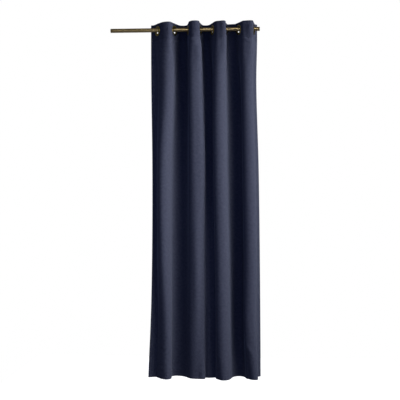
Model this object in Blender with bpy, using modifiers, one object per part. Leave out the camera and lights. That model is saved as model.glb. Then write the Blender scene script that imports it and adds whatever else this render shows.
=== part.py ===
"""Eyelet curtain hanging in four uneven folds from a round rod.

Frame, in metres: the rod's axis is the X axis, with the origin under the middle of the heading.
Z is up, and the face of the curtain that a room sees looks towards -Y.
"""
from collections import namedtuple

import bmesh
import bpy
import numpy as np
from mathutils import Matrix, Vector

# Cloth as it is cut, and where it hangs.
CLOTH_WIDTH = 1.400
CLOTH_DROP = 2.450
CLOTH_THICKNESS = 0.002
TOP_EDGE_Z = 0.045
HEM_Z = TOP_EDGE_Z - CLOTH_DROP
SIDE_MARGIN = 0.080
EYELET_COUNT = 8
EYELET_PITCH = (CLOTH_WIDTH - 2 * SIDE_MARGIN) / (EYELET_COUNT - 1)

# Rod.
ROD_RADIUS = 0.014
ROD_LEFT_X = -0.646
ROD_RIGHT_X = 0.388
ROD_END_BEVEL = 0.0012
ROD_END_ANGLE = np.radians(60)
ROD_SIDES = 36

# Eyelets: a front ring with a collar through the cloth, and a ring behind it.
EYELET_DROP = 0.0057
RING_OUTER_RADIUS = 0.0355
COLLAR_INNER_RADIUS = 0.0220
COLLAR_OUTER_RADIUS = 0.0232
CLOTH_HOLE_RADIUS = 0.0238
BACK_RING_HOLE_RADIUS = 0.0237
RING_HEIGHT = 0.0034
RING_GAP = 0.0005
BACK_RING_HEIGHT = 0.0018
RING_STEPS = 24
PUNCH_DEPTH = 0.012

# Grid of the cloth.
CLOTH_COLUMNS = 88
CLOTH_ROWS = 20
ROW_SPREAD = 1.5

# Heights of the plan sections, from the eyelets' lower edge to the hem.
LEVELS_Z = (-0.060, -0.350, -0.950, -1.550, -2.050, HEM_Z)
# The stiffened heading is flat round an eyelet, over this share of each wall. Below the heading its hold
# fades as half a bell of this width.
HEADING_FLAT = 0.42
HEADING_FADE = 0.12
# Share of a ridge's change from its upper to its hem values that is reached at each level.
SLIP_SHARE = (0.0, 0.40, 0.65, 0.88, 1.0, 1.0)

# A row for each ridge from left to right, in millimetres. The first six columns are its place across,
# one for each level. Crown is its roundness in the heading, under it and at the hem: under 1 is sharp,
# over 1 is broad. Slip is how far it has moved along the cloth from the middle between two eyelets, and
# out is how far it is pushed back.
Ridge = namedtuple(
    "Ridge", "x1 x2 x3 x4 x5 x6 crown_top crown_mid crown_hem slip_top slip_hem out_top out_hem"
)
RIDGES = (
    Ridge(-378, -374, -366, -366, -374, -388, 2.2, 1.0, 1.0, 0, 0, 0, -60),
    Ridge(-259, -254, -278, -274, -256, -256, 1.5, 1.0, 0.9, -10, -10, 0, -5),
    Ridge(-142, -146, -160, -172, -182, -186, 1.3, 0.9, 0.9, 8, -8, 0, -15),
    Ridge(-64, -54, -42, -36, -30, -28, 2.4, 2.0, 1.0, 0, 24, -20, 20),
    Ridge(14, 34, 46, 52, 54, 46, 1.0, 0.7, 0.7, 0, -20, 0, -55),
    Ridge(116, 108, 108, 122, 130, 134, 2.0, 1.0, 1.2, 0, -12, 0, -5),
    Ridge(188, 220, 242, 250, 246, 250, 0.8, 1.0, 1.0, 0, 4, -25, 0),
    Ridge(305, 302, 316, 326, 320, 340, 3.0, 1.0, 1.0, 0, -3, 0, 22),
    Ridge(379, 374, 390, 398, 402, 404, 1.0, 1.0, 1.0, 0, 0, 0, 0),
)
MM = 0.001

# Colours.
NAVY = (0.020, 0.022, 0.045, 1.0)
ANTIQUE_BRASS = (0.36, 0.27, 0.13, 1.0)

# Fine steps for the wall solver.
WALL_STEPS = (np.arange(40) + 0.5) / 40
TURN_STEPS = np.radians(np.arange(0.0, 150.0, 1.0))
FINE_STEPS = 1401


def clear_scene():
    """Remove every object that the start-up scene holds."""
    for obj in list(bpy.data.objects):
        bpy.data.objects.remove(obj, do_unlink=True)


def new_collection(name):
    """Return a new collection linked to the scene."""
    collection = bpy.data.collections.new(name)
    bpy.context.scene.collection.children.link(collection)
    return collection


def new_material(name, colour, roughness, metallic):
    """Return a plain Principled material."""
    material = bpy.data.materials.new(name)
    material.use_nodes = True
    shader = material.node_tree.nodes["Principled BSDF"]
    shader.inputs["Base Color"].default_value = colour
    shader.inputs["Roughness"].default_value = roughness
    shader.inputs["Metallic"].default_value = metallic
    material.diffuse_color = colour
    return material


def place(obj, collection, material=None):
    """Move an object into a collection and give it its material."""
    for holder in list(obj.users_collection):
        holder.objects.unlink(obj)
    collection.objects.link(obj)
    if material is not None:
        obj.data.materials.clear()
        obj.data.materials.append(material)
    return obj


def between_levels(values, z):
    """Blend a row of level values smoothly at height z, constant above the first level."""
    down = -np.asarray(LEVELS_Z)
    depth = np.clip(-z, down[0], down[-1])
    rise = np.diff(values) / np.diff(down)
    slope = np.zeros(len(values))
    slope[1:-1] = (rise[1:] + rise[:-1]) / 2
    slope[-1] = rise[-1]
    low = min(max(int(np.searchsorted(down, depth)) - 1, 0), len(down) - 2)
    width = down[low + 1] - down[low]
    t = (depth - down[low]) / width
    start = (2 * t**3 - 3 * t**2 + 1) * values[low] + (t**3 - 2 * t**2 + t) * width * slope[low]
    end = (3 * t**2 - 2 * t**3) * values[low + 1] + (t**3 - t**2) * width * slope[low + 1]
    return start + end


def heading_hold(z):
    """Return how far the eyelets hold the cloth at height z: 1 in the heading, less below it."""
    below = max(LEVELS_Z[0] - z, 0)
    return np.exp(-((below / HEADING_FADE) ** 2))


def ridge_values(z):
    """Return place across, place along the cloth, crown and push of every ridge at height z."""
    share = between_levels(SLIP_SHARE, z)
    across = np.array([between_levels(row[:6], z) for row in RIDGES]) * MM
    crown = np.array([row.crown_mid + (row.crown_hem - row.crown_mid) * share for row in RIDGES])
    crown += (np.array([row.crown_top for row in RIDGES]) - crown) * heading_hold(z)
    slip = np.array([row.slip_top + (row.slip_hem - row.slip_top) * share for row in RIDGES]) * MM
    out = np.array([row.out_top + (row.out_hem - row.out_top) * share for row in RIDGES]) * MM
    along = SIDE_MARGIN + (np.arange(len(RIDGES)) - 0.5) * EYELET_PITCH + slip
    return across, along, crown, out


def lean_share(t, crown, flat):
    """Share of a wall's full turn at t, which is 0 at the wall's middle and 1 at a ridge."""
    return np.cos(np.pi / 2 * np.clip((t - flat) / (1 - flat), 0, 1)) ** crown


def wall_turns(across, along, crown, flat):
    """Solve the turn of each wall so that its cloth spans exactly from ridge to ridge."""
    advance = [
        np.cos(TURN_STEPS[:, None] * lean_share(WALL_STEPS, value, flat)[None, :]).mean(axis=1)
        for value in crown
    ]
    spans = np.diff(across) / np.diff(along)
    return np.array([
        np.interp(-spans[k], -(advance[k] + advance[k + 1]) / 2, TURN_STEPS)
        for k in range(len(spans))
    ])


def running_sum(values, step):
    """Integrate values along the cloth by the trapezium rule."""
    return np.concatenate([[0.0], np.cumsum((values[1:] + values[:-1]) / 2) * step])


def plan_section(z):
    """Return the cloth's centre line at height z as fine lists of s, x and y."""
    across, along, crown, out = ridge_values(z)
    flat = HEADING_FLAT * heading_hold(z)
    turns = wall_turns(across, along, crown, flat)
    s = np.linspace(0, CLOTH_WIDTH, FINE_STEPS)
    wall = np.clip(np.searchsorted(along, s) - 1, 0, len(turns) - 1)
    u = (s - along[wall]) / np.diff(along)[wall]
    t = np.abs(u - 0.5) * 2
    nearest = np.where(u < 0.5, wall, wall + 1)
    angle = turns[wall] * lean_share(t, crown[nearest], flat)
    side = np.where(wall % 2 == 0, -1.0, 1.0)
    x = running_sum(np.cos(angle), s[1])
    y = running_sum(side * np.sin(angle), s[1])
    x += across[1] - np.interp(along[1], s, x)
    middles = (along[1:] + along[:-1]) / 2
    offset = np.interp(middles, s, y)
    gap = np.clip(np.searchsorted(middles, s) - 1, 0, len(middles) - 2)
    w = np.clip((s - middles[gap]) / np.diff(middles)[gap], 0, 1)
    w = np.clip((w - flat / 2) / (1 - flat), 0, 1)
    y -= offset[gap] + (offset[gap + 1] - offset[gap]) * w * w * (3 - 2 * w)
    push = np.clip((t - flat) / (1 - flat), 0, 1)
    y += out[nearest] * push * push * (3 - 2 * push)
    return s, x, y


def row_heights():
    """Heights of the cloth's grid rows: the heading is one straight band, and rows are close below it."""
    down = np.linspace(0, 1, CLOTH_ROWS) ** ROW_SPREAD
    return np.concatenate([[TOP_EDGE_Z], LEVELS_Z[0] + (HEM_Z - LEVELS_Z[0]) * down])


def eyelet_frames():
    """Return each eyelet's frame: local Z leaves the cloth's face, square to its flat wall."""
    s, x, y = plan_section(LEVELS_Z[0])
    along = ridge_values(LEVELS_Z[0])[1]
    up = Vector((0, 0, 1))
    frames = []
    for middle in (along[1:] + along[:-1]) / 2:
        ends = (middle - RING_OUTER_RADIUS / 2, middle + RING_OUTER_RADIUS / 2)
        run = np.interp(ends, s, x)
        rise = np.interp(ends, s, y)
        outward = Vector((rise[1] - rise[0], run[0] - run[1], 0)).normalized()
        turn = Matrix((up.cross(outward), up, outward)).transposed()
        centre = Vector((run.mean(), rise.mean(), -EYELET_DROP))
        frames.append(Matrix.Translation(centre) @ turn.to_4x4())
    return frames


def make_cloth(parts, cutters, material):
    """Hang the cloth: a grid laid on the folds, thickened, with a round hole at each eyelet."""
    heights = row_heights()
    sections = [plan_section(z) for z in heights]
    mesh = bpy.data.meshes.new("cloth_panel")
    shape = bmesh.new()
    bmesh.ops.create_grid(shape, x_segments=CLOTH_COLUMNS, y_segments=len(heights) - 1, size=0.5)
    for vertex in shape.verts:
        row = round((0.5 - vertex.co.y) * (len(heights) - 1))
        s, x, y = sections[row]
        along = (vertex.co.x + 0.5) * CLOTH_WIDTH
        vertex.co = (np.interp(along, s, x), np.interp(along, s, y), heights[row])
    shape.to_mesh(mesh)
    shape.free()
    mesh.shade_smooth()
    cloth = place(bpy.data.objects.new("cloth_panel", mesh), parts, material)
    thicken = cloth.modifiers.new("thickness", "SOLIDIFY")
    thicken.thickness = CLOTH_THICKNESS
    thicken.offset = 0
    thicken.use_even_offset = True
    for number, frame in enumerate(eyelet_frames(), 1):
        make_punch(number, frame, cutters)
    holes = cloth.modifiers.new("eyelet_holes", "BOOLEAN")
    holes.operation = "DIFFERENCE"
    holes.solver = "EXACT"
    holes.operand_type = "COLLECTION"
    holes.collection = cutters
    return cloth


def make_punch(number, frame, cutters):
    """Make the cutter of one eyelet's hole through the cloth."""
    bpy.ops.mesh.primitive_cylinder_add(vertices=RING_STEPS, radius=CLOTH_HOLE_RADIUS, depth=PUNCH_DEPTH)
    punch = bpy.context.object
    punch.name = f"punch_{number}"
    punch.matrix_world = frame
    punch.hide_render = True
    punch.display_type = "WIRE"
    return place(punch, cutters)


def ring_mesh(name, profile):
    """Return the mesh of a closed profile of radius and height, ready to be turned about Z."""
    mesh = bpy.data.meshes.new(name)
    shape = bmesh.new()
    corners = [shape.verts.new((radius, 0, height)) for radius, height in profile]
    for corner, following in zip(corners, corners[1:] + corners[:1]):
        shape.edges.new((corner, following))
    shape.to_mesh(mesh)
    shape.free()
    return mesh


def turned_ring(name, mesh, frame, parts, material):
    """Turn a ring's profile about the axis of its eyelet."""
    ring = place(bpy.data.objects.new(name, mesh), parts, material)
    ring.matrix_world = frame
    turn = ring.modifiers.new("turn", "SCREW")
    turn.axis = "Z"
    turn.steps = RING_STEPS
    turn.render_steps = RING_STEPS
    turn.use_merge_vertices = True
    turn.merge_threshold = 0.00001
    turn.use_smooth_shade = True
    return ring


def make_eyelets(parts, material):
    """Fit a front ring with its collar, and a back ring, at every eyelet."""
    face = CLOTH_THICKNESS / 2 + RING_GAP
    crest = face + RING_HEIGHT
    tail = -face - BACK_RING_HEIGHT
    front = (
        (COLLAR_INNER_RADIUS + 0.0048, crest),
        (RING_OUTER_RADIUS - 0.0034, crest - 0.0008),
        (RING_OUTER_RADIUS, face + 0.0008),
        (RING_OUTER_RADIUS - 0.0006, face),
        (COLLAR_OUTER_RADIUS, face),
        (COLLAR_OUTER_RADIUS, tail),
        (COLLAR_INNER_RADIUS, tail),
        (COLLAR_INNER_RADIUS, crest - 0.0014),
        (COLLAR_INNER_RADIUS + 0.0016, crest - 0.0002),
    )
    back = (
        (BACK_RING_HOLE_RADIUS, -face),
        (RING_OUTER_RADIUS - 0.0006, -face),
        (RING_OUTER_RADIUS - 0.0010, -face - 0.0008),
        (RING_OUTER_RADIUS - 0.0040, tail),
        (BACK_RING_HOLE_RADIUS, tail),
    )
    front_mesh = ring_mesh("eyelet_front", front)
    back_mesh = ring_mesh("eyelet_back", back)
    for number, frame in enumerate(eyelet_frames(), 1):
        turned_ring(f"eyelet_{number}_front", front_mesh, frame, parts, material)
        turned_ring(f"eyelet_{number}_back", back_mesh, frame, parts, material)


def make_rod(parts, material):
    """Lay the round rod along X, closed by flat ends with a small bevel."""
    bpy.ops.mesh.primitive_cylinder_add(
        vertices=ROD_SIDES,
        radius=ROD_RADIUS,
        depth=ROD_RIGHT_X - ROD_LEFT_X,
        location=((ROD_LEFT_X + ROD_RIGHT_X) / 2, 0, 0),
        rotation=(0, np.pi / 2, 0),
    )
    rod = bpy.context.object
    rod.name = "rod"
    rod.data.shade_smooth()
    rod.data.set_sharp_from_angle(angle=ROD_END_ANGLE)
    bevel = rod.modifiers.new("end_bevel", "BEVEL")
    bevel.width = ROD_END_BEVEL
    bevel.segments = 2
    bevel.limit_method = "ANGLE"
    bevel.angle_limit = ROD_END_ANGLE
    return place(rod, parts, material)


def main():
    """Build the curtain and its rod."""
    clear_scene()
    parts = new_collection("eyelet_curtain_with_rod")
    cutters = new_collection("cutters")
    cloth = new_material("cloth", NAVY, 0.95, 0.0)
    brass = new_material("antique_brass", ANTIQUE_BRASS, 0.35, 1.0)
    make_cloth(parts, cutters, cloth)
    make_eyelets(parts, brass)
    make_rod(parts, brass)


main()
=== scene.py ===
"""An eyelet curtain on its rod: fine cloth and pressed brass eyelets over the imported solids."""
import logging
from dataclasses import dataclass
from enum import Enum
import bpy
import numpy as np
from bpy.types import Material, Node, NodeSocket, NodeTree, Object
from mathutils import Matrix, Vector


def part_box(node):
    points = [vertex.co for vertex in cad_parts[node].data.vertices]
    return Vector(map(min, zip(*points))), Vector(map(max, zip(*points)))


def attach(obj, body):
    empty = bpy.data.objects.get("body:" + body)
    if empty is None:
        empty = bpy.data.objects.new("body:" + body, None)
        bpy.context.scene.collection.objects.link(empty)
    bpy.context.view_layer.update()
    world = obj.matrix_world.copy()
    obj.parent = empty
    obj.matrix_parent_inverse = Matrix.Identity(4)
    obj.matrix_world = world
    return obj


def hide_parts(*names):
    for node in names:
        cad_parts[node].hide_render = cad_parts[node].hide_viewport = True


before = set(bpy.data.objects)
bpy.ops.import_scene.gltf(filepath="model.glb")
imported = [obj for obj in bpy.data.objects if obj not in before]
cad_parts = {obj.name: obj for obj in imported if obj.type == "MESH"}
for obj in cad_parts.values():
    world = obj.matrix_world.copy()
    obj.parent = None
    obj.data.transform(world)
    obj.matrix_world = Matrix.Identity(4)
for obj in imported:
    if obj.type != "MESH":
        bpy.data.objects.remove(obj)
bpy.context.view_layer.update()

logging.basicConfig(level=logging.INFO, format="%(message)s")
log = logging.getLogger("curtain")

Array = np.ndarray
Pair = tuple[float, float]
Triple = tuple[float, float, float]
MM = 0.001
ROD_LOW, ROD_HIGH = (np.array(corner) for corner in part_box("rod"))
CLOTH_LOW, CLOTH_HIGH = (np.array(corner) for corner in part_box("cloth_panel"))
ROD_RADIUS = float(ROD_HIGH[2] - ROD_LOW[2]) / 2
ROD_AXIS = (ROD_LOW + ROD_HIGH) / 2
TOP_EDGE_Z = float(CLOTH_HIGH[2])
HEM_Z = float(CLOTH_LOW[2])
HEM_DEPTH = 0.050
SIDE_HEM = 0.020
HEADING_DEPTH = 0.113
CLOTH_WIDTH = 1.400
COLUMNS = 250
HEADING_LINE = TOP_EDGE_Z - HEM_Z - HEADING_DEPTH
WHITE = (1.0, 1.0, 1.0, 1.0)
DAYLIGHT = (0.97, 0.985, 1.0)
KEY_AIM = (-1.60, 0.0, -0.60)
BODY_AIM = (0.0, 0.0, -1.2)
ROD_AIM = (0.0, 0.0, 0.0)
FLAT_REACH = 0.018
UP = np.array([0.0, 0.0, 1.0])

# Sockets of the Mix node while it blends colours.
MIX_SHARE, MIX_FROM, MIX_TO, MIX_RESULT = 0, 6, 7, 2


class Finish(Enum):
    """The record's material slots."""

    CLOTH = "cloth"
    EYELET = "eyelet_brass"
    ROD = "rod_brass"


def smoothstep(share: Array) -> Array:
    """Ease a share from 0 to 1, level at both ends."""
    return share * share * (3 - 2 * share)


@dataclass(frozen=True)
class Ridge:
    """One ridge of the folds, in front of the rod or behind it.

    Attributes:
        x: its place across at each level, in millimetres.
        crown: how broadly it turns, in the heading, below it and at the hem.
        slip: how far it slips along the cloth, in the heading and at the hem, in millimetres.
        out: how far it is pushed back, in the heading and at the hem, in millimetres.
    """

    x: tuple[float, ...]
    crown: Triple
    slip: Pair
    out: Pair


@dataclass(frozen=True)
class FoldPlan:
    """The folds as plan sections, worked out from one table of ridges.

    Each wall between two ridges turns like a meander over its share of the cloth. The walls are
    then laid on the rod's axis and the ridges are pushed in or out, which shortens the section
    a little below the heading.
    """

    width: float = CLOTH_WIDTH
    margin: float = 0.080
    eyelets: int = 8
    levels: tuple[float, ...] = (-0.060, -0.350, -0.950, -1.550, -2.050, HEM_Z)
    flat_heading: float = 0.42
    heading_fade: float = 0.12
    slipped: tuple[float, ...] = (0.0, 0.40, 0.65, 0.88, 1.0, 1.0)
    ridges: tuple[Ridge, ...] = (
        Ridge((-378, -374, -366, -366, -374, -388), (2.2, 1.0, 1.0), (0, 0), (0, -60)),
        Ridge((-259, -254, -278, -274, -256, -256), (1.5, 1.0, 0.9), (-10, -10), (0, -5)),
        Ridge((-142, -146, -160, -172, -182, -186), (1.3, 0.9, 0.9), (8, -8), (0, -15)),
        Ridge((-64, -54, -42, -36, -30, -28), (2.4, 2.0, 1.0), (0, 24), (-20, 20)),
        Ridge((14, 34, 46, 52, 54, 46), (1.0, 0.7, 0.7), (0, -20), (0, -55)),
        Ridge((116, 108, 108, 122, 130, 134), (2.0, 1.0, 1.2), (0, -12), (0, -5)),
        Ridge((188, 220, 242, 250, 246, 250), (0.8, 1.0, 1.0), (0, 4), (-25, 0)),
        Ridge((305, 302, 316, 326, 320, 340), (3.0, 1.0, 1.0), (0, -3), (0, 22)),
        Ridge((379, 374, 390, 398, 402, 404), (1.0, 1.0, 1.0), (0, 0), (0, 0)),
    )
    fine_per_column: int = 6
    samples: int = 40
    halvings: int = 30
    sharpest_turn: float = 2.6

    @property
    def pitch(self) -> float:
        """Cloth between two eyelets, in metres."""
        return (self.width - 2 * self.margin) / (self.eyelets - 1)

    def between_levels(self, values: Array, heights: Array) -> Array:
        """Blend level values by a smooth cubic between levels, constant above the first.

        Args:
            values: one row per ridge, one column per level.
            heights: the heights to blend at.

        Returns:
            One row per ridge, one column per height.
        """
        values = np.atleast_2d(np.asarray(values, float))
        down = -np.asarray(self.levels)
        depth = np.clip(-heights, down[0], down[-1])
        rise = np.diff(values) / np.diff(down)
        slope = np.zeros_like(values)
        slope[:, 1:-1] = (rise[:, 1:] + rise[:, :-1]) / 2
        slope[:, -1] = rise[:, -1]
        low = np.clip(np.searchsorted(down, depth) - 1, 0, len(down) - 2)
        gap = np.diff(down)[low]
        t = (depth - down[low]) / gap
        leave, leave_slope = 2 * t**3 - 3 * t**2 + 1, (t**3 - 2 * t**2 + t) * gap
        reach, reach_slope = 3 * t**2 - 2 * t**3, (t**3 - t**2) * gap
        start = leave * values[:, low] + leave_slope * slope[:, low]
        end = reach * values[:, low + 1] + reach_slope * slope[:, low + 1]
        return start + end

    @staticmethod
    def blend(pairs: list[Pair], share: Array) -> Array:
        """Blend each ridge's pair of values by the share that it has gone at each height."""
        first, last = (column[:, None] for column in np.array(pairs, float).T)
        return first + (last - first) * share

    def ridge_values(self, heights: Array) -> tuple[Array, ...]:
        """Work out where the ridges lie, with one row per ridge and one column per height.

        Args:
            heights: the heights to work at.

        Returns:
            Their places across and along the cloth, crowns and pushes back, in metres.
        """
        share = self.between_levels(self.slipped, heights)
        x = self.between_levels([ridge.x for ridge in self.ridges], heights) * MM
        crowns = np.array([ridge.crown for ridge in self.ridges])
        heading, body, hem = (column[:, None] for column in crowns.T)
        crown = body + (hem - body) * share
        crown += (heading - crown) * self.held(heights)
        slip = self.blend([ridge.slip for ridge in self.ridges], share)
        out = self.blend([ridge.out for ridge in self.ridges], share)
        order = np.arange(len(self.ridges))[:, None]
        along = self.margin + (order - 0.5) * self.pitch + slip * MM
        return x, along, crown, out * MM

    def held(self, heights: Array) -> Array:
        """How far the eyelets hold the cloth: 1 in the heading, falling below it as half a bell."""
        below = np.clip(self.levels[0] - heights, 0, None)
        return np.exp(-((below / self.heading_fade) ** 2))

    @staticmethod
    def lean(t: Array, crown: Array, flat: Array) -> Array:
        """Share of a wall's turn: 1 on its flat middle, falling as a cosine to 0 at a ridge."""
        return np.cos(np.pi / 2 * np.clip((t - flat) / (1 - flat), 0, 1)) ** crown

    def wall_turns(self, x: Array, along: Array, crown: Array, flat: Array) -> Array:
        """Halve an interval until each wall's mean cosine equals its span over its cloth.

        Args:
            x: the ridges' places across, with one row per ridge and one column per height.
            along: their places along the cloth, in the same form.
            crown: their crowns, in the same form.
            flat: how far the walls' flat middles reach, at each height.

        Returns:
            The turn of each wall at each height.
        """
        steps = ((np.arange(self.samples) + 0.5) / self.samples)[None, None, :]
        near = self.lean(steps, crown[:-1, :, None], flat[None, :, None])
        far = self.lean(steps, crown[1:, :, None], flat[None, :, None])
        shares = np.concatenate([near, far], axis=2)
        wanted = np.diff(x, axis=0) / np.diff(along, axis=0)
        low, high = np.zeros_like(wanted), np.full_like(wanted, self.sharpest_turn)
        for _ in range(self.halvings):
            middle = (low + high) / 2
            wide = np.cos(middle[:, :, None] * shares).mean(axis=2) > wanted
            low, high = np.where(wide, middle, low), np.where(wide, high, middle)
        return (low + high) / 2

    def sections(self, heights: Array, columns: int) -> tuple[Array, ...]:
        """Work out the plan section at every height.

        Along the cloth the direction turns by the wall's turn times its lean. The running sums
        of the direction's cosine and sine give x and y.

        Args:
            heights: the rows' heights.
            columns: the columns of the cloth's grid.

        Returns:
            The fine places along the cloth, and x and y with a row for each height.
        """
        x, along, crown, out = self.ridge_values(heights)
        flat = self.flat_heading * self.held(heights)
        turns = self.wall_turns(x, along, crown, flat)
        s = np.linspace(0, self.width, columns * self.fine_per_column + 1)
        step = s[1]
        wall = (s[None, None, :] >= along[1:-1, :, None]).sum(axis=0)
        rows = np.arange(len(heights))[:, None]
        along_wall = (s - along[wall, rows]) / np.diff(along, axis=0)[wall, rows]
        from_middle = np.abs(along_wall - 0.5) * 2
        nearest = np.where(along_wall < 0.5, wall, wall + 1)
        flat = flat[:, None]
        angle = turns[wall, rows] * self.lean(from_middle, crown[nearest, rows], flat)
        side = np.where(wall % 2 == 0, -1.0, 1.0)
        place_x = self.running_sum(np.cos(angle), step)
        place_y = self.running_sum(side * np.sin(angle), step)
        place_x += (x[1] - self.at(place_x, along[1], step))[:, None]
        place_y -= self.drift(s, along, place_y, flat)
        push = np.clip((from_middle - flat) / (1 - flat), 0, 1)
        place_y += out[nearest, rows] * smoothstep(push)
        return s, place_x, place_y

    def drift(self, s: Array, along: Array, y: Array, flat: Array) -> Array:
        """How far the walls' middles stray from the rod's axis, eased from one to the next.

        Args:
            s: the fine places along the cloth.
            along: the ridges' places along the cloth at each height.
            y: the section's y, with a row for each height.
            flat: how far the walls' flat middles reach, one row per height.

        Returns:
            The drift at each place, with a row for each height.
        """
        rows = np.arange(len(y))[:, None]
        middles = (along[1:] + along[:-1]) / 2
        offset = np.stack([self.at(y, middle, s[1]) for middle in middles])
        gap = (s[None, None, :] >= middles[1:-1, :, None]).sum(axis=0)
        share = np.clip((s - middles[gap, rows]) / np.diff(middles, axis=0)[gap, rows], 0, 1)
        share = np.clip((share - flat / 2) / (1 - flat), 0, 1)
        return offset[gap, rows] + (offset[gap + 1, rows] - offset[gap, rows]) * smoothstep(share)

    @staticmethod
    def running_sum(values: Array, step: float) -> Array:
        """Integrate each row of even steps by the trapezium rule, starting at 0.

        Args:
            values: one row of values for each height.
            step: the distance between two values.

        Returns:
            The sums, in the same form.
        """
        total = np.zeros_like(values)
        total[:, 1:] = np.cumsum((values[:, 1:] + values[:, :-1]) / 2, axis=1) * step
        return total

    @staticmethod
    def at(values: Array, place: Array, step: float) -> Array:
        """Read each row of even steps at its own place along the cloth, by a straight blend.

        Args:
            values: one row of values for each height.
            place: the place to read at, for each height.
            step: the distance between two values.

        Returns:
            The value at each height.
        """
        index = np.clip((place / step).astype(int), 0, values.shape[1] - 2)
        rows = np.arange(len(place))
        share = np.clip(place / step - index, 0, 1)
        return values[rows, index] * (1 - share) + values[rows, index + 1] * share

    def eyelet_places(self) -> Array:
        """Return each eyelet's place along the cloth, the middle of its wall in the heading."""
        along = self.ridge_values(np.array([TOP_EDGE_Z]))[1][:, 0]
        return (along[1:] + along[:-1]) / 2


def new_object(name: str, verts: Array, faces: Array | list, body: str = "root") -> Object:
    """Make a smooth mesh object from whole arrays and let it ride on a body.

    Args:
        name: the piece's name.
        verts: one row of x, y, z for each vertex.
        faces: vertex numbers of each face.
        body: the body that it moves with.

    Returns:
        The new object.
    """
    mesh = bpy.data.meshes.new(name)
    mesh.from_pydata(verts.tolist(), [], [list(map(int, face)) for face in faces])
    mesh.update()
    mesh.shade_smooth()
    piece = bpy.data.objects.new(name, mesh)
    bpy.context.scene.collection.objects.link(piece)
    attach(piece, body)
    return piece


def add_node(tree: NodeTree, kind: str, place: Pair, **values: object) -> Node:
    """Add a shader node, set its properties, and set its inputs by name.

    Args:
        tree: the node tree to add to.
        kind: the node's type name.
        place: where it stands in the editor.
        values: its properties or inputs, by name with underscores for spaces.

    Returns:
        The new node.
    """
    node = tree.nodes.new(kind)
    node.location = place
    for name, value in values.items():
        if hasattr(node, name):
            setattr(node, name, value)
        else:
            node.inputs[name.replace("_", " ")].default_value = value
    return node


@dataclass(frozen=True)
class Relief:
    """How strongly a height shows in the light, and how deep it is in metres."""

    strength: float
    depth: float


def add_bump(tree: NodeTree, place: Pair, relief: Relief, height: NodeSocket,
             below: NodeSocket | None = None, **values: object) -> NodeSocket:
    """Add a bump over the normal of the bump below it.

    Args:
        tree: the node tree to add to.
        place: where the node stands in the editor.
        relief: the bump's strength and depth.
        height: the height that it shows.
        below: the normal of the bump below, if there is one.
        values: further properties of the node.

    Returns:
        The new normal.
    """
    bump = add_node(tree, "ShaderNodeBump", place, Strength=relief.strength,
                    Distance=relief.depth, **values)
    tree.links.new(height, bump.inputs["Height"])
    if below is not None:
        tree.links.new(below, bump.inputs["Normal"])
    return bump.outputs["Normal"]


def new_material(name: str, **values: object) -> tuple[Material, Node]:
    """Make a material of one Principled shader.

    Args:
        name: its name.
        values: inputs of the shader, by name with underscores for spaces.

    Returns:
        The material and its shader.
    """
    material = bpy.data.materials.new(name)
    material.use_nodes = True
    shader = material.node_tree.nodes["Principled BSDF"]
    for socket, value in values.items():
        shader.inputs[socket.replace("_", " ")].default_value = value
    return material, shader


def patchy_group() -> NodeTree:
    """Make the group that blends two colours by soft noise and gives the noise as a height.

    Returns:
        The node group.
    """
    group = bpy.data.node_groups.new("patchy_tone", "ShaderNodeTree")
    sockets = (("Vector", "Vector", "INPUT"), ("Scale", "Float", "INPUT"),
               ("Detail", "Float", "INPUT"), ("Dark", "Color", "INPUT"),
               ("Light", "Color", "INPUT"), ("Tone", "Color", "OUTPUT"),
               ("Height", "Float", "OUTPUT"))
    for name, kind, side in sockets:
        group.interface.new_socket(name, in_out=side, socket_type=f"NodeSocket{kind}")
    enter = add_node(group, "NodeGroupInput", (-600, 0))
    leave = add_node(group, "NodeGroupOutput", (400, 0))
    noise = add_node(group, "ShaderNodeTexNoise", (-380, 0), Roughness=0.6)
    spread = add_node(group, "ShaderNodeMapRange", (-180, 0), From_Min=0.3, From_Max=0.7)
    mix = add_node(group, "ShaderNodeMix", (80, 0), data_type="RGBA")
    link = group.links.new
    for name in ("Vector", "Scale", "Detail"):
        link(enter.outputs[name], noise.inputs[name])
    link(noise.outputs["Fac"], spread.inputs["Value"])
    link(spread.outputs["Result"], mix.inputs[MIX_SHARE])
    link(enter.outputs["Dark"], mix.inputs[MIX_FROM])
    link(enter.outputs["Light"], mix.inputs[MIX_TO])
    link(mix.outputs[MIX_RESULT], leave.inputs["Tone"])
    link(spread.outputs["Result"], leave.inputs["Height"])
    return group


@dataclass(frozen=True)
class SewnLine:
    """A sewn line, square to an axis of the cut cloth, at its place on that axis in metres."""

    axis: str
    place: float


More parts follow.
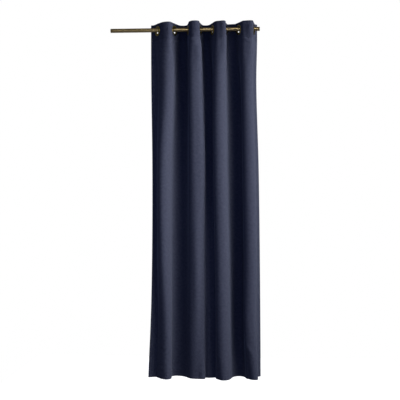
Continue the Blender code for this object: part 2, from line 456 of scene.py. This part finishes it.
@dataclass(frozen=True)
class BrushedCloth:
    """Dense brushed navy cloth with a soft nap, faint mottle, small puckers and sewn hems.

    Lengths are in metres and turns in radians. A stretch is the scale along and down the cloth, and
    the heading's painted shade is a darker tone that the stiffened heading's colour is multiplied
    by.
    """

    dark: tuple[float, ...] = (0.0188, 0.0205, 0.0315, 1.0)
    light: tuple[float, ...] = (0.0302, 0.0324, 0.0462, 1.0)
    roughness: float = 0.92
    specular: float = 0.04
    sheen: float = 0.10
    sheen_roughness: float = 0.45
    sheen_tint: tuple[float, ...] = (0.62, 0.66, 0.80, 1.0)
    nap_scale: float = 1400.0
    nap: Relief = Relief(0.25, 0.0006)
    mottle_scale: float = 60.0
    mottle_detail: float = 5.0
    mottle_turn: float = 0.5
    mottle_stretch: Triple = (0.9, 1.0, 1.0)
    crumple_scale: float = 16.0
    crumple_detail: float = 4.0
    crumple_turn: float = 0.7
    crumple_stretch: Triple = (1.0, 1.25, 1.0)
    crumple: Relief = Relief(0.32, 0.006)
    groove_width: float = 0.0035
    groove: Relief = Relief(0.6, 0.0016)
    # Painted shade: the heading band's colour is multiplied by this darker tone.
    heading_painted_shade: tuple[float, ...] = (0.80, 0.80, 0.83, 1.0)
    heading_shade_edge: float = 0.014
    sewn: tuple[SewnLine, ...] = (
        SewnLine("Y", HEM_DEPTH),
        SewnLine("Y", HEADING_LINE),
        SewnLine("X", SIDE_HEM),
        SewnLine("X", CLOTH_WIDTH - SIDE_HEM),
    )

    def add_heading_shade(self, tree: NodeTree, split: Node, tone: NodeSocket) -> NodeSocket:
        """Darken the tone a little over the stiffened heading, as painted shade for the shade that
        falls there.

        Args:
            tree: the material's nodes.
            split: the node that splits the cut cloth's map.
            tone: the cloth's tone.

        Returns:
            The tone with the heading's painted shade in it.
        """
        share = add_node(tree, "ShaderNodeMapRange", (-700, 480), interpolation_type="SMOOTHSTEP",
                         From_Min=HEADING_LINE - self.heading_shade_edge,
                         From_Max=HEADING_LINE + self.heading_shade_edge)
        # Multiplies the heading band's painted shade into the tone.
        mix = add_node(tree, "ShaderNodeMix", (-300, 300), data_type="RGBA", blend_type="MULTIPLY")
        mix.inputs[MIX_TO].default_value = self.heading_painted_shade
        tree.links.new(split.outputs["Y"], share.inputs["Value"])
        tree.links.new(share.outputs["Result"], mix.inputs[MIX_SHARE])
        tree.links.new(tone, mix.inputs[MIX_FROM])
        return mix.outputs[MIX_RESULT]

    def add_grooves(self, tree: NodeTree, split: Node) -> NodeSocket:
        """Make a mask that is 1 on each sewn line and falls smoothly to 0 beside it.

        Args:
            tree: the material's nodes.
            split: the node that splits the cut cloth's map.

        Returns:
            The mask.
        """
        link = tree.links.new
        mask = None
        for row, line in enumerate(self.sewn):
            level = -700 - 180 * row
            off = add_node(tree, "ShaderNodeMath", (-800, level), operation="SUBTRACT")
            off.inputs[1].default_value = line.place
            away = add_node(tree, "ShaderNodeMath", (-640, level), operation="ABSOLUTE")
            fall = add_node(tree, "ShaderNodeMapRange", (-480, level),
                            interpolation_type="SMOOTHSTEP", From_Max=self.groove_width,
                            To_Min=1.0, To_Max=0.0)
            link(split.outputs[line.axis], off.inputs[0])
            link(off.outputs[0], away.inputs[0])
            link(away.outputs[0], fall.inputs["Value"])
            if mask is None:
                mask = fall.outputs["Result"]
                continue
            both = add_node(tree, "ShaderNodeMath", (-300, level), operation="MAXIMUM")
            link(mask, both.inputs[0])
            link(fall.outputs["Result"], both.inputs[1])
            mask = both.outputs[0]
        return mask

    def material(self, patchy: NodeTree) -> Material:
        """Build the material on the cloth's own map, whose units are metres of cut cloth.

        Args:
            patchy: the shared group of patchy tone.

        Returns:
            The material.
        """
        material, shader = new_material(
            "brushed_navy_cloth", Roughness=self.roughness, Specular_IOR_Level=self.specular,
            Sheen_Weight=self.sheen, Sheen_Roughness=self.sheen_roughness,
            Sheen_Tint=self.sheen_tint)
        tree = material.node_tree
        link = tree.links.new
        cut_cloth = add_node(tree, "ShaderNodeUVMap", (-1200, 0), uv_map="cut_cloth").outputs["UV"]
        split = add_node(tree, "ShaderNodeSeparateXYZ", (-1000, -700))
        link(cut_cloth, split.inputs["Vector"])
        mottle = add_node(tree, "ShaderNodeGroup", (-700, 200), node_tree=patchy, Dark=self.dark,
                          Light=self.light, Scale=self.mottle_scale, Detail=self.mottle_detail)
        turned = add_node(tree, "ShaderNodeMapping", (-1000, 150), Scale=self.mottle_stretch,
                          Rotation=(0, 0, self.mottle_turn))
        link(cut_cloth, turned.inputs["Vector"])
        link(turned.outputs["Vector"], mottle.inputs["Vector"])
        nap = add_node(tree, "ShaderNodeTexNoise", (-700, -100), Scale=self.nap_scale, Detail=2.0)
        link(cut_cloth, nap.inputs["Vector"])
        crumple = add_node(tree, "ShaderNodeTexNoise", (-700, -350), Scale=self.crumple_scale,
                           Detail=self.crumple_detail, Roughness=0.6)
        turned = add_node(tree, "ShaderNodeMapping", (-1000, -350), Scale=self.crumple_stretch,
                          Rotation=(0, 0, self.crumple_turn))
        link(cut_cloth, turned.inputs["Vector"])
        link(turned.outputs["Vector"], crumple.inputs["Vector"])
        crumpled = add_bump(tree, (-250, -350), self.crumple, crumple.outputs["Fac"])
        sewn = add_bump(tree, (-100, -500), self.groove, self.add_grooves(tree, split), crumpled,
                        invert=True)
        napped = add_bump(tree, (50, -150), self.nap, nap.outputs["Fac"], sewn)
        link(self.add_heading_shade(tree, split, mottle.outputs["Tone"]), shader.inputs["Base Color"])
        link(napped, shader.inputs["Normal"])
        return material


@dataclass(frozen=True)
class AntiqueBrass:
    """Satin antique brass with a darker patina in patches that stand out a little."""

    name: str
    dark: tuple[float, ...]
    light: tuple[float, ...]
    roughness: float = 0.30
    patina_scale: float = 60.0
    patina_detail: float = 4.0
    patina: Relief = Relief(0.08, 0.0005)

    def material(self, patchy: NodeTree) -> Material:
        """Build the material on Object coordinates, which are metres from the rod's middle.

        Args:
            patchy: the shared group of patchy tone.

        Returns:
            The material.
        """
        material, shader = new_material(self.name, Metallic=1.0, Roughness=self.roughness)
        tree = material.node_tree
        link = tree.links.new
        place = add_node(tree, "ShaderNodeTexCoord", (-900, 0))
        patches = add_node(tree, "ShaderNodeGroup", (-600, 0), node_tree=patchy, Dark=self.dark,
                           Light=self.light, Scale=self.patina_scale, Detail=self.patina_detail)
        link(place.outputs["Object"], patches.inputs["Vector"])
        link(patches.outputs["Tone"], shader.inputs["Base Color"])
        link(add_bump(tree, (-250, -200), self.patina, patches.outputs["Height"]),
             shader.inputs["Normal"])
        return material


# The eyelets' brass is darker and more olive than the rod's. The extra darkness is painted shade
# for the shade the eyelets sit in among the folds.
SHADED_EYELET_BRASS = AntiqueBrass("eyelet_brass", dark=(0.34, 0.27, 0.08, 1.0),
                            light=(0.50, 0.40, 0.13, 1.0))
ROD_BRASS = AntiqueBrass("rod_brass", dark=(0.46, 0.34, 0.16, 1.0), light=(0.60, 0.47, 0.25, 1.0))


@dataclass(frozen=True)
class Crease:
    """One soft crease pressed into the cloth, in metres, with its tilt in degrees.

    Its middle lies at along and z on the cut cloth. Its length and width are halves, and trough is
    how much of it is the trough beside the crease.
    """

    along: float
    z: float
    length: float
    width: float
    tilt: float
    depth: float
    trough: float = 0.8

    def depth_at(self, s: Array, z: Array) -> Array:
        """A bell across the crease, with a trough beside it, that fades out along its length.

        Args:
            s: places along the cloth.
            z: their heights.

        Returns:
            The depth at each place.
        """
        run, rise = np.cos(np.radians(self.tilt)), np.sin(np.radians(self.tilt))
        lengthwise = ((s - self.along) * run + (z - self.z) * rise) / self.length
        across = (-(s - self.along) * rise + (z - self.z) * run) / self.width
        bell = self.depth * np.exp(-lengthwise**2) * np.exp(-across**2)
        return bell * (1 - self.trough * across)


@dataclass(frozen=True)
class Swell:
    """One long soft swell of the cloth, or a dent where its height is below 0, in metres.

    Its middle lies at along and z on the cut cloth.
    """

    along: float
    z: float
    half_width: float
    half_length: float
    height: float

    def height_at(self, s: Array, z: Array) -> Array:
        """A bell both across and down the cloth."""
        across = ((s - self.along) / self.half_width) ** 2
        return self.height * np.exp(-across - ((z - self.z) / self.half_length) ** 2)


@dataclass(frozen=True)
class Band:
    """A band of the cloth's grid, from its upper height down to the next band, in even rows."""

    top: float
    rows: int


@dataclass
class ClothPanel:
    """The hung panel: one sheet with turned hems and round holes for the eyelets.

    Attributes:
        hole_z: the height of the eyelets' middles.
        bands: the grid's rows.
        thickness: the cloth's thickness where it is turned in.
        single_share: how much of that a single layer has.
        swells: the long swells and dents, placed from the photo.
        creases: the creases and puckers, placed from the photo.
    """

    plan: FoldPlan
    hole_z: float
    bands: tuple[Band, ...] = (
        Band(TOP_EDGE_Z, 36),
        Band(-0.130, 97),
        Band(-2.150, 31),
        Band(HEM_Z + 0.070, 26),
        Band(HEM_Z, 1),
    )
    thickness: float = 0.0020
    single_share: float = 0.75
    hole_radius: float = 0.0240
    swells: tuple[Swell, ...] = (
        Swell(0.000, -2.25, 0.035, 0.25, -0.013),
        Swell(0.128, -0.06, 0.024, 0.14, -0.006),
        Swell(0.190, -0.05, 0.020, 0.12, 0.008),
        Swell(0.550, 0.01, 0.017, 0.07, 0.011),
        Swell(0.562, -0.14, 0.022, 0.10, 0.016),
        Swell(0.902, 0.02, 0.018, 0.06, 0.011),
        Swell(0.916, -0.09, 0.022, 0.10, 0.012),
        Swell(1.198, 0.00, 0.014, 0.07, 0.006),
        Swell(1.245, 0.00, 0.030, 0.05, 0.012),
        Swell(0.595, -0.90, 0.030, 0.38, 0.010),
        Swell(0.895, -1.00, 0.030, 0.50, 0.006),
        Swell(0.985, -1.05, 0.045, 0.70, -0.008),
        Swell(1.130, -1.20, 0.060, 0.75, 0.011),
        Swell(1.225, -1.55, 0.050, 0.45, 0.012),
        Swell(0.536, -1.65, 0.026, 0.50, 0.009),
        Swell(1.188, -2.40, 0.034, 0.20, -0.017),
        Swell(0.826, -2.42, 0.030, 0.16, -0.012),
        Swell(0.578, -2.42, 0.024, 0.16, 0.014),
    )
    creases: tuple[Crease, ...] = (
        Crease(0.530, -0.050, 0.034, 0.010, 38, 0.0032),
        Crease(0.512, -0.085, 0.040, 0.010, -28, 0.0024),
        Crease(0.880, -0.075, 0.034, 0.010, 24, 0.0020),
        Crease(1.222, -0.080, 0.040, 0.011, -30, 0.0022),
        Crease(0.172, -0.085, 0.034, 0.010, 20, 0.0020),
        Crease(0.135, -2.185, 0.026, 0.011, 14, 0.0028),
        Crease(0.128, -2.232, 0.028, 0.011, 20, 0.0030),
        Crease(0.132, -2.280, 0.026, 0.010, 10, 0.0026),
        Crease(0.126, -2.326, 0.026, 0.010, 16, 0.0026),
        Crease(0.270, HEM_Z + 0.050, 0.110, 0.006, 1, 0.0034),
        Crease(0.285, HEM_Z + 0.035, 0.100, 0.006, -1, 0.0032),
        Crease(0.260, HEM_Z + 0.020, 0.080, 0.006, 1, 0.0028),
        Crease(0.885, HEM_Z + 0.022, 0.034, 0.006, -8, 0.0026),
        Crease(0.905, HEM_Z + 0.012, 0.026, 0.005, 12, 0.0024),
        Crease(1.205, -2.170, 0.050, 0.016, -58, 0.0036),
        Crease(1.238, -2.225, 0.045, 0.014, -52, 0.0030),
    )

    def rows(self) -> Array:
        """Space the grid's rows evenly in each band.

        Returns:
            Their heights, from the top edge to the hem.
        """
        ends = self.bands[1:] + self.bands[-1:]
        return np.concatenate([
            np.linspace(band.top, end.top, band.rows, endpoint=False)
            for band, end in zip(self.bands, ends)
        ])

    def cut_holes(self, s: Array, z: Array, quads: Array) -> Array:
        """Drop the quads inside each eyelet's hole and round the hole's rim.

        Args:
            s: the vertices' places along the cloth, changed on a rim.
            z: their heights, changed in the same way.
            quads: vertex numbers of the grid's quads.

        Returns:
            The quads that stay.
        """
        keep = np.ones(len(quads), bool)
        middle_s, middle_z = s[quads].mean(axis=1), z[quads].mean(axis=1)
        for place in self.plan.eyelet_places():
            inside = np.hypot(middle_s - place, middle_z - self.hole_z) < self.hole_radius
            rim = np.intersect1d(quads[inside], quads[~inside])
            ds, dz = s[rim] - place, z[rim] - self.hole_z
            stretch = self.hole_radius / np.hypot(ds, dz)
            s[rim], z[rim] = place + ds * stretch, self.hole_z + dz * stretch
            keep &= ~inside
        return quads[keep]

    def hang(self, s: Array, z: Array, fine: Array, x_rows: Array, y_rows: Array) -> Array:
        """Lay the grid on the folds and press the swells and creases into it.

        Args:
            s: the grid's places along the cloth.
            z: the grid's heights.
            fine: the sections' fine places along the cloth.
            x_rows: the sections' x.
            y_rows: the sections' y.

        Returns:
            The grid's points.
        """
        x = np.stack([np.interp(row, fine, values) for row, values in zip(s, x_rows)])
        y = np.stack([np.interp(row, fine, values) for row, values in zip(s, y_rows)])
        points = np.stack([x, y, z], axis=-1)
        outward = np.stack([np.gradient(y, axis=1), -np.gradient(x, axis=1)], axis=-1)
        outward /= np.maximum(np.linalg.norm(outward, axis=-1, keepdims=True), 1e-9)
        relief = sum(crease.depth_at(s, z) for crease in self.creases)
        relief += sum(swell.height_at(s, z) for swell in self.swells)
        points[..., :2] += outward * relief[..., None]
        return points

    def build(self, material: Material) -> Object:
        """Make the panel from a grid over the cut cloth, with a map in metres of that cloth.

        Args:
            material: the cloth's finish.

        Returns:
            The panel.
        """
        heights = self.rows()
        fine, x_rows, y_rows = self.plan.sections(heights, COLUMNS)
        s = np.tile(fine[:: self.plan.fine_per_column], (len(heights), 1))
        z = np.repeat(heights[:, None], s.shape[1], axis=1)
        number = np.arange(s.size).reshape(s.shape)
        corners = (number[:-1, :-1], number[1:, :-1], number[1:, 1:], number[:-1, 1:])
        quads = np.stack([corner.ravel() for corner in corners], axis=1)
        s_flat, z_flat = s.ravel(), z.ravel()
        quads = self.cut_holes(s_flat, z_flat, quads)
        points = self.hang(s_flat.reshape(s.shape), z_flat.reshape(z.shape), fine, x_rows, y_rows)
        used, compact = np.unique(quads, return_inverse=True)
        quads = compact.reshape(quads.shape)
        panel = new_object("curtain_cloth", points.reshape(-1, 3)[used], quads)
        s, z = s_flat[used], z_flat[used]
        cut_cloth = np.stack([s, z - HEM_Z], axis=1)[quads.ravel()]
        panel.data.uv_layers.new(name="cut_cloth").data.foreach_set("uv", cut_cloth.ravel())
        panel.data.materials.append(material)
        self.thicken(panel, s, z)
        return panel

    def thicken(self, panel: Object, s: Array, z: Array) -> None:
        """Give the sheet its thickness, a little more where it is turned in.

        Args:
            panel: the panel.
            s: its vertices' places along the cloth.
            z: their heights.
        """
        edge = np.minimum(s, self.plan.width - s)
        turned = (edge < SIDE_HEM) | (z - HEM_Z < HEM_DEPTH) | (TOP_EDGE_Z - z < HEADING_DEPTH)
        group = panel.vertex_groups.new(name="turned")
        group.add(np.flatnonzero(turned).tolist(), 1.0, "REPLACE")
        solid = panel.modifiers.new("thickness", "SOLIDIFY")
        solid.thickness = self.thickness
        solid.offset = 0
        solid.vertex_group = group.name
        solid.thickness_vertex_group = self.single_share


@dataclass(frozen=True)
class Corner:
    """A corner of a turned profile: its radius, its height, and how far its rounding sets back."""

    radius: float
    height: float
    setback: float


@dataclass(frozen=True)
class Eyelet:
    """A pressed eyelet: a domed front ring with its flared collar, and a domed back ring.

    Attributes:
        number: its number, from 1 at the left.
        centre: its middle, in the cloth's own middle.
        outward: where its front faces.
        outer: the rings' outer radius.
        inner: the radius of the opening.
        wall: the metal's thickness.
        face: half the room between the rings.
        neck: how far the collar runs straight behind the cloth.
        barrel: how far the collar reaches behind the cloth.
        flare: how much wider the collar is at its end.
        dome: how far the front ring stands out.
        lip: how far the rings' rims are drawn in.
        lip_height: how high the front ring's rim is.
        clearance: the room between the collar and the back ring.
        steps: how many steps go round a ring.
    """

    number: int
    centre: Array
    outward: Array
    outer: float = 0.0355
    inner: float = 0.0220
    wall: float = 0.0012
    face: float = 0.0012
    neck: float = 0.0018
    barrel: float = 0.0075
    flare: float = 0.0024
    dome: float = 0.0042
    lip: float = 0.0012
    lip_height: float = 0.0022
    clearance: float = 0.0004
    steps: int = 72

    def turned(self, name: str, profile: Array, material: Material) -> Object:
        """Turn a closed profile of radius and height about the eyelet's axis.

        Args:
            name: the piece's name.
            profile: rows of radius and height, going round the metal.
            material: its finish.

        Returns:
            The ring.
        """
        side = np.cross(UP, self.outward)
        angle = np.linspace(0, 2 * np.pi, self.steps, endpoint=False)
        radial = np.cos(angle)[:, None] * side + np.sin(angle)[:, None] * UP
        away = radial[:, None, :] * profile[None, :, :1]
        verts = self.centre + away + self.outward * profile[None, :, 1:]
        count = len(profile)
        ring, point = np.meshgrid(np.arange(self.steps), np.arange(count), indexing="ij")
        after, beyond = (ring + 1) % self.steps, (point + 1) % count
        here, there = ring * count, after * count
        faces = np.stack([here + point, there + point, there + beyond, here + beyond], axis=-1)
        piece = new_object(name, verts.reshape(-1, 3), faces.reshape(-1, 4))
        piece.data.materials.append(material)
        return piece

    @staticmethod
    def rounded(corners: list[Corner], per_corner: int = 5) -> Array:
        """Round each corner of a closed profile by a curve through its two setbacks.

        Args:
            corners: the profile's corners, going round the metal.
            per_corner: points on each corner's curve.

        Returns:
            The rounded profile, as rows of radius and height.
        """
        points = np.array([(corner.radius, corner.height) for corner in corners])
        setback = np.array([[corner.setback] for corner in corners])
        before, after = np.roll(points, 1, axis=0) - points, np.roll(points, -1, axis=0) - points
        start = points + before / np.linalg.norm(before, axis=1, keepdims=True) * setback
        end = points + after / np.linalg.norm(after, axis=1, keepdims=True) * setback
        t = np.linspace(0, 1, per_corner)[None, :, None]
        curve = (1 - t) ** 2 * start[:, None] + 2 * t * (1 - t) * points[:, None]
        curve += t**2 * end[:, None]
        return curve.reshape(-1, 2)

    def build(self, material: Material) -> list[Object]:
        """Make both rings of the eyelet.

        Args:
            material: their finish.

        Returns:
            The front ring and the back ring.
        """
        neck, tail = -self.face - self.neck, -self.face - self.barrel
        crest = self.face + self.dome
        wide = self.inner + self.flare
        middle = (self.inner + self.outer) / 2
        front = self.rounded([
            Corner(wide, tail, 0.0004),
            Corner(wide + self.wall, tail, 0.0004),
            Corner(self.inner + self.wall, neck, 0.0008),
            Corner(self.inner + self.wall, self.face, 0.0003),
            Corner(self.outer, self.face, 0.0006),
            Corner(self.outer - self.lip, self.face + self.lip_height, 0.0014),
            Corner(middle, crest + 0.0006, 0.0045),
            Corner(self.inner, crest - 0.0004, 0.0022),
            Corner(self.inner, neck, 0.0008),
        ])
        gap = self.wall + self.clearance
        back = self.rounded([
            Corner(wide + gap, tail + 0.0002, 0.0008),
            Corner(middle + 0.0010, tail + 0.0008, 0.0030),
            Corner(self.outer - 0.0014, neck - 0.0016, 0.0012),
            Corner(self.outer - 0.0010, -self.face, 0.0003),
            Corner(self.inner + gap, -self.face, 0.0003),
            Corner(self.inner + gap, neck, 0.0006),
        ])
        name = f"eyelet_{self.number}"
        return [self.turned(f"{name}_front_ring", front[::-1], material),
                self.turned(f"{name}_back_ring", back[::-1], material)]


@dataclass(frozen=True)
class Rod:
    """The round rod, closed at both ends by a flat plug with a fine seam round it.

    Attributes:
        steps: how many steps go round it.
        rings: how many rings its bar has, the first one first_ring from its end.
        seam: half the width of the seam round a plug, and half its depth.
    """

    steps: int = 96
    rings: int = 40
    first_ring: float = 0.020
    bevel: float = 0.0012
    plug_radius: float = 0.0122
    seam: float = 0.0004

    def profile(self) -> Array:
        """List the left end, the bar and the right end.

        Returns:
            Rows of radius and x.
        """
        left, right = float(ROD_LOW[0]), float(ROD_HIGH[0])
        rounding = self.bevel * 0.3
        end = [(0.0, 0.0), (self.plug_radius - self.seam, 0.0),
               (self.plug_radius, self.seam * 2), (self.plug_radius + self.seam, 0.0),
               (ROD_RADIUS - self.bevel, 0.0), (ROD_RADIUS - rounding, rounding),
               (ROD_RADIUS, self.bevel)]
        bar = np.linspace(left + self.first_ring, right - self.first_ring, self.rings)
        rows = [(radius, left + inset) for radius, inset in end]
        rows += [(ROD_RADIUS, x) for x in bar]
        rows += [(radius, right - inset) for radius, inset in reversed(end)]
        return np.array(rows)

    def build(self, material: Material) -> Object:
        """Turn the profile about the rod's axis, with a pole at each end.

        Args:
            material: the rod's finish.

        Returns:
            The rod.
        """
        table = self.profile()
        angle = np.linspace(0, 2 * np.pi, self.steps, endpoint=False)
        inner = table[1:-1]
        x = np.repeat(inner[:, 1:2], self.steps, axis=1)
        y = ROD_AXIS[1] + inner[:, :1] * np.cos(angle)
        z = ROD_AXIS[2] + inner[:, :1] * np.sin(angle)
        verts = np.stack([x, y, z], axis=-1).reshape(-1, 3)
        poles = np.array([[table[end, 1], ROD_AXIS[1], ROD_AXIS[2]] for end in (0, -1)])
        ring, step = np.meshgrid(np.arange(len(inner) - 1), np.arange(self.steps), indexing="ij")
        following = (step + 1) % self.steps
        here, beyond = ring * self.steps, (ring + 1) * self.steps
        quads = np.stack([here + step, here + following, beyond + following, beyond + step],
                         axis=-1)
        around = np.arange(self.steps)
        onward = (around + 1) % self.steps
        base = (len(inner) - 1) * self.steps
        first, last = np.full(self.steps, len(verts)), np.full(self.steps, len(verts) + 1)
        caps = np.concatenate([np.stack([first, onward, around], axis=1),
                               np.stack([last, base + around, base + onward], axis=1)])
        faces = [*quads.reshape(-1, 4), *caps]
        rod = new_object("brass_rod", np.concatenate([verts, poles]), faces)
        rod.data.set_sharp_from_angle(angle=np.radians(40))
        rod.data.materials.append(material)
        return rod


@dataclass(frozen=True)
class Softbox:
    """One soft light, with its angle to the right of the front and its spread in degrees.

    It stands round the rod's middle and is turned to its aim. A light for metal shows in the brass
    alone, and the others light the cloth alone.
    """

    name: str
    power: float
    colour: Triple
    angle: float
    distance: float
    height: float
    aim: Triple
    size: Pair
    spread: float
    for_metal: bool = False

    def build(self) -> None:
        """Hang the light, turned to its aim."""
        data = bpy.data.lights.new(self.name, "AREA")
        data.shape = "RECTANGLE"
        data.size, data.size_y = self.size
        data.energy = self.power
        data.color = self.colour
        data.spread = np.radians(self.spread)
        light = bpy.data.objects.new(self.name, data)
        turn = np.radians(self.angle)
        place = Vector((np.sin(turn), -np.cos(turn), 0)) * self.distance
        place += Vector((0, 0, self.height))
        facing = (Vector(self.aim) - place).to_track_quat("-Z", "Y")
        light.location = place
        light.rotation_euler = facing.to_euler()
        light.visible_camera = False
        light.visible_diffuse = not self.for_metal
        light.visible_glossy = self.for_metal
        bpy.context.scene.collection.objects.link(light)


@dataclass(frozen=True)
class Studio:
    """White room: a pale floor, a soft key from the right in two parts, fills and brass lights."""

    camera_place: Triple = (0.294, -5.190, -1.1765)
    camera_yaw: float = 3.5
    lens: float = 67.75
    floor_z: float = -2.60
    floor_half: float = 1.6
    floor_colour: tuple[float, float, float, float] = (0.30, 0.30, 0.30, 1.0)
    floor_roughness: float = 0.9
    # Columns: name, power, colour, angle, distance, height, aim, size, spread, for metal.
    lights: tuple[Softbox, ...] = (
        Softbox("key", 130.0, DAYLIGHT, 64.0, 9.0, -0.30, KEY_AIM, (4.4, 2.4), 40.0),
        Softbox("key_side", 70.0, DAYLIGHT, 44.0, 9.0, -0.30, KEY_AIM, (4.6, 2.4), 40.0),
        Softbox("front_fill", 66.0, (0.24, 0.38, 1.0), 0.0, 5.5, -1.0, BODY_AIM, (1.6, 2.0), 180.0),
        Softbox("left_fill", 1.9, (0.56, 0.68, 1.0), -50.0, 4.5, -1.0, (0.0, 0.0, -1.0),
                (1.4, 1.4), 46.0),
        Softbox("back_fill", 70.0, DAYLIGHT, 180.0, 5.5, -1.0, BODY_AIM, (1.6, 2.0), 60.0),
        Softbox("brass_strip", 34.0, (1.0, 0.97, 0.92), 3.0, 5.0, 0.90, ROD_AIM, (2.6, 0.5),
                180.0, True),
        Softbox("brass_side", 24.0, (1.0, 0.95, 0.86), 60.0, 5.0, 0.30, ROD_AIM, (1.4, 2.0),
                180.0, True),
    )
    ambient: tuple[float, float, float, float] = (0.64, 0.69, 1.0, 1.0)
    ambient_strength: float = 0.24
    mirror_strength: float = 0.09

    def add_camera(self) -> None:
        """Place the level camera in front of the curtain, a little to its right."""
        data = bpy.data.cameras.new("camera")
        data.lens = self.lens
        camera = bpy.data.objects.new("camera", data)
        camera.location = self.camera_place
        camera.rotation_euler = (np.pi / 2, 0, np.radians(self.camera_yaw))
        bpy.context.scene.collection.objects.link(camera)
        bpy.context.scene.camera = camera

    def add_floor(self) -> None:
        """Lay a pale floor that reads as white as the room."""
        half = self.floor_half
        corners = np.array([(-half, -half, 0), (half, -half, 0), (half, half, 0), (-half, half, 0)])
        mesh = bpy.data.meshes.new("floor")
        mesh.from_pydata((corners + (0, 0, self.floor_z)).tolist(), [], [(0, 1, 2, 3)])
        floor = bpy.data.objects.new("floor", mesh)
        bpy.context.scene.collection.objects.link(floor)
        material, shader = new_material("pale_floor", Base_Color=self.floor_colour,
                                        Roughness=self.floor_roughness, Emission_Color=WHITE)
        seen = add_node(material.node_tree, "ShaderNodeLightPath", (-300, -200))
        glow = shader.inputs["Emission Strength"]
        material.node_tree.links.new(seen.outputs["Is Camera Ray"], glow)
        mesh.materials.append(material)

    def add_room(self) -> None:
        """White to the camera, dimmer in mirror reflections, and a weak fill on the cloth."""
        world = bpy.data.worlds.new("room")
        world.use_nodes = True
        bpy.context.scene.world = world
        tree = world.node_tree
        link = tree.links.new
        fill = tree.nodes["Background"]
        fill.inputs["Color"].default_value = self.ambient
        fill.inputs["Strength"].default_value = self.ambient_strength
        mirror = add_node(tree, "ShaderNodeBackground", (-200, -150), Color=WHITE,
                          Strength=self.mirror_strength)
        white = add_node(tree, "ShaderNodeBackground", (-200, -300), Color=WHITE, Strength=1.0)
        path = add_node(tree, "ShaderNodeLightPath", (-600, 100))
        shiny = add_node(tree, "ShaderNodeMixShader", (0, 0))
        seen = add_node(tree, "ShaderNodeMixShader", (200, 0))
        link(path.outputs["Is Glossy Ray"], shiny.inputs[0])
        link(fill.outputs[0], shiny.inputs[1])
        link(mirror.outputs[0], shiny.inputs[2])
        link(path.outputs["Is Camera Ray"], seen.inputs[0])
        link(shiny.outputs[0], seen.inputs[1])
        link(white.outputs[0], seen.inputs[2])
        link(seen.outputs[0], tree.nodes["World Output"].inputs["Surface"])

    def build(self) -> None:
        """Set up the room, its lights and the camera, with colours shown as they are."""
        bpy.context.scene.view_settings.view_transform = "Standard"
        self.add_camera()
        self.add_floor()
        self.add_room()
        for light in self.lights:
            light.build()


def eyelet_at(number: int, plan: FoldPlan, section: tuple[Array, ...]) -> Eyelet:
    """Fit an eyelet square to its flat wall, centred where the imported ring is.

    Args:
        number: the eyelet's number, from 1 at the left.
        plan: the folds.
        section: the heading's plan section, as s, x and y.

    Returns:
        The eyelet.
    """
    low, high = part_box(f"eyelet_{number}_front")
    place = plan.eyelet_places()[number - 1]
    s, x, y = section
    ends = np.array([place - FLAT_REACH, place + FLAT_REACH])
    across, back = np.interp(ends, s, x[0]), np.interp(ends, s, y[0])
    outward = np.array([back[1] - back[0], across[0] - across[1], 0.0])
    outward /= np.linalg.norm(outward)
    centre = np.array([across.mean(), back.mean(), (low[2] + high[2]) / 2])
    return Eyelet(number, centre, outward)


def main() -> None:
    """Build the studio, the eyelets, the rod and the cloth."""
    Studio().build()
    patchy = patchy_group()
    plan = FoldPlan()
    section = plan.sections(np.array([TOP_EDGE_Z]), COLUMNS)
    eyelets = [eyelet_at(number, plan, section) for number in range(1, plan.eyelets + 1)]
    brass = SHADED_EYELET_BRASS.material(patchy)
    for eyelet in eyelets:
        front, back = eyelet.build(brass)
        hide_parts(f"eyelet_{eyelet.number}_front")
        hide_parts(f"eyelet_{eyelet.number}_back")
        log.info("eyelet %d at x %.3f", eyelet.number, eyelet.centre[0])
    rod = Rod().build(ROD_BRASS.material(patchy))
    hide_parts("rod")
    log.info("rod from %.3f to %.3f", ROD_LOW[0], ROD_HIGH[0])
    hole_z = float(eyelets[0].centre[2])
    cloth = ClothPanel(plan, hole_z).build(BrushedCloth().material(patchy))
    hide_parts("cloth_panel")
    log.info("cloth with %d faces", len(cloth.data.polygons))


if __name__ == "__main__":
    main()
